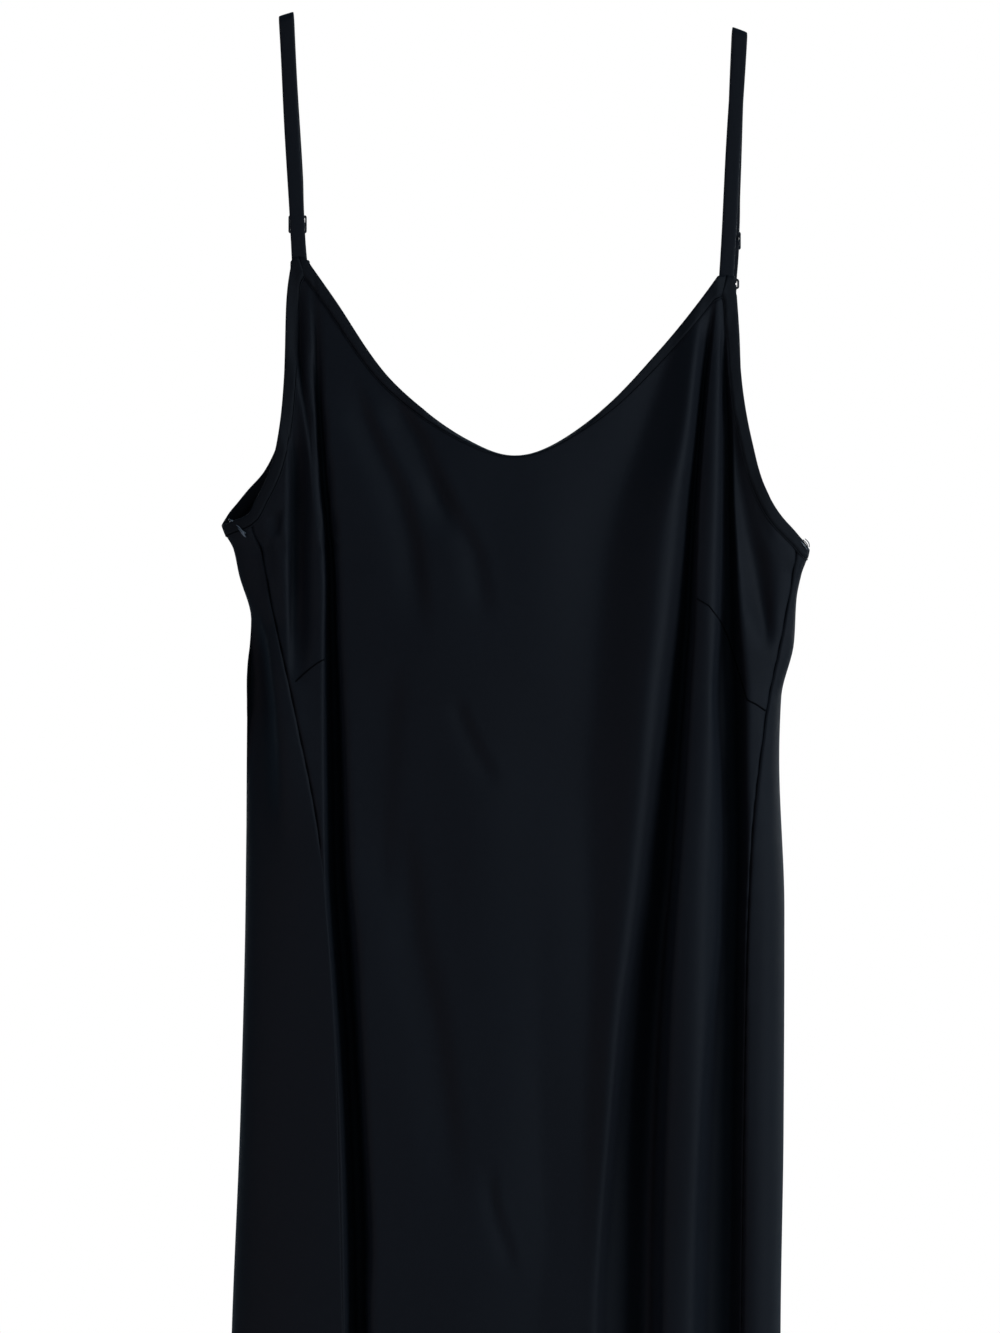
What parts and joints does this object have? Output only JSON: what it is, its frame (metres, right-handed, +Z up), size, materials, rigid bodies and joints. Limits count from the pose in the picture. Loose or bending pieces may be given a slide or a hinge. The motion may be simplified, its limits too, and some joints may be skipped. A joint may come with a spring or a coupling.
{
  "type": "slip dress",
  "caption": "Plain sleeveless slip dress with narrow adjustable straps, a scooped neck and bound armholes, hung open with deep soft folds.",
  "frame": {"origin": "midway between the tops of the two straps, where a hanger's two ends hold them", "axes": "+Z up, +X to the right as seen from the front, and the front faces -Y"},
  "size_m": [0.3782, 0.0959, 1.1603],
  "materials": {
    "black_crepe": "fine matt crepe with a soft sheen",
    "black_crepe_trim": "the same crepe cut as narrow binding, stitched",
    "black_strap": "crepe tube pressed flat",
    "black_coated_metal": "black coating, half gloss"
  },
  "bodies": {
    "root": {"front_panel": "black_crepe", "back_panel": "black_crepe", "front_neck_binding": "black_crepe_trim", "back_neck_binding": "black_crepe_trim", "left_armhole_binding": "black_crepe_trim", "right_armhole_binding": "black_crepe_trim", "left_strap": "black_strap", "right_strap": "black_strap", "left_tab": "black_strap", "right_tab": "black_strap", "left_ring": "black_coated_metal", "right_ring": "black_coated_metal", "left_slider": "black_coated_metal", "right_slider": "black_coated_metal"}
  },
  "joints": []
}
